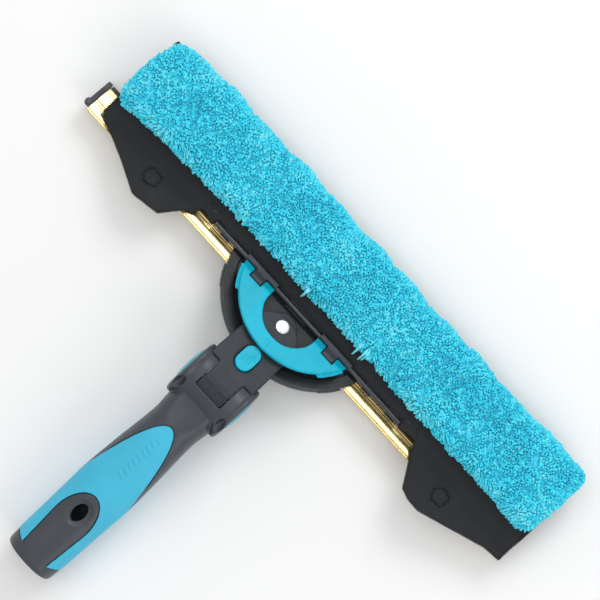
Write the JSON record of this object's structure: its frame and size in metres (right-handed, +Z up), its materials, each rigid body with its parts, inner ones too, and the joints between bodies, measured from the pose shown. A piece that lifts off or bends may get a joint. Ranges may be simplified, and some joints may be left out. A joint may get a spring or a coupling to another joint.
{
  "type": "window cleaning squeegee",
  "caption": "Window squeegee with a tilting and swivelling head, brass channel with rubber blade, clamp lever, pole socket grip and a flip-up microfibre pad.",
  "frame": {"origin": "on the floor under the middle of the tool's box, as it lies on a table", "axes": "+X along the channel, +Y from the grip to the pad, +Z up"},
  "size_m": [0.356, 0.2706, 0.0532],
  "materials": {
    "charcoal_plastic": "fine grained moulded plastic",
    "dark_plastic": "fine grained moulded plastic",
    "aqua_plastic": "smooth satin plastic",
    "soft_aqua": "soft matt over-moulded grip",
    "steel": "satin",
    "brass": "brushed, bright",
    "blade_rubber": "smooth matt",
    "black_fabric": "close woven",
    "aqua_fleece": "long looped microfibre pile"
  },
  "bodies": {
    "grip": {"grip_core": "charcoal_plastic", "grip_skin": "soft_aqua", "tilt_pin": "steel", "tilt_spring_left": "steel", "tilt_spring_right": "steel"},
    "left_button": {"tilt_button_left": "aqua_plastic"},
    "right_button": {"tilt_button_right": "aqua_plastic"},
    "neck": {"neck": "charcoal_plastic", "swivel_button_spring": "steel"},
    "lock_button": {"swivel_button": "aqua_plastic"},
    "head": {"head_front_plate": "dark_plastic", "head_back_shell": "charcoal_plastic", "swivel_bolt": "steel", "swivel_washer": "steel", "tension_nut": "steel", "lever_pin_left": "steel", "lever_pin_right": "steel", "pad_bracket_left": "charcoal_plastic", "pad_bracket_right": "charcoal_plastic", "channel": "brass", "rubber_blade": "blade_rubber", "end_clip_left": "dark_plastic", "end_clip_right": "dark_plastic", "pad_ear_left": "black_fabric", "pad_ear_right": "black_fabric", "ear_snap_left": "black_fabric", "ear_snap_right": "black_fabric"},
    "lever": {"clamp_lever": "aqua_plastic"},
    "pad": {"pad_rod": "dark_plastic", "pad_plate": "dark_plastic", "pad_backing": "black_fabric", "pad_lining": "black_fabric", "pad_microfibre": "aqua_fleece"}
  },
  "joints": [
    {"name": "tilt", "type": "hinge", "parent": "grip", "child": "neck", "pos_m": [-0.006, 0.01127, 0.03565], "axis": [-1, 0, 0], "range_deg": [-33, 45]},
    {"name": "swivel", "type": "hinge", "parent": "neck", "child": "head", "pos_m": [-0.006, 0.05903, 0.01792], "axis": [0, 0.4384, 0.8988], "range_deg": [-40, 40]},
    {"name": "clamp_lever", "type": "hinge", "parent": "head", "child": "lever", "pos_m": [-0.006, 0.07263, 0.01752], "axis": [-1, 0, 0], "range_deg": [0, 25]},
    {"name": "pad_flip", "type": "hinge", "parent": "head", "child": "pad", "pos_m": [-0.006, 0.07569, 0.01558], "axis": [1, 0, 0], "range_deg": [0, 50]},
    {"name": "tilt_release_left", "type": "slide", "parent": "grip", "child": "left_button", "axis": [1, 0, 0], "range_m": [0, 0.002], "stiffness_N_per_m": 500, "springref_m": -0.004, "deforming": ["tilt_spring_left"]},
    {"name": "tilt_release_right", "type": "slide", "parent": "grip", "child": "right_button", "axis": [-1, 0, 0], "range_m": [0, 0.002], "stiffness_N_per_m": 500, "springref_m": -0.004, "deforming": ["tilt_spring_right"]},
    {"name": "swivel_lock", "type": "slide", "parent": "neck", "child": "lock_button", "axis": [0, -0.4384, -0.8988], "range_m": [0, 0.0018], "stiffness_N_per_m": 500, "springref_m": -0.004, "deforming": ["swivel_button_spring"]}
  ]
}
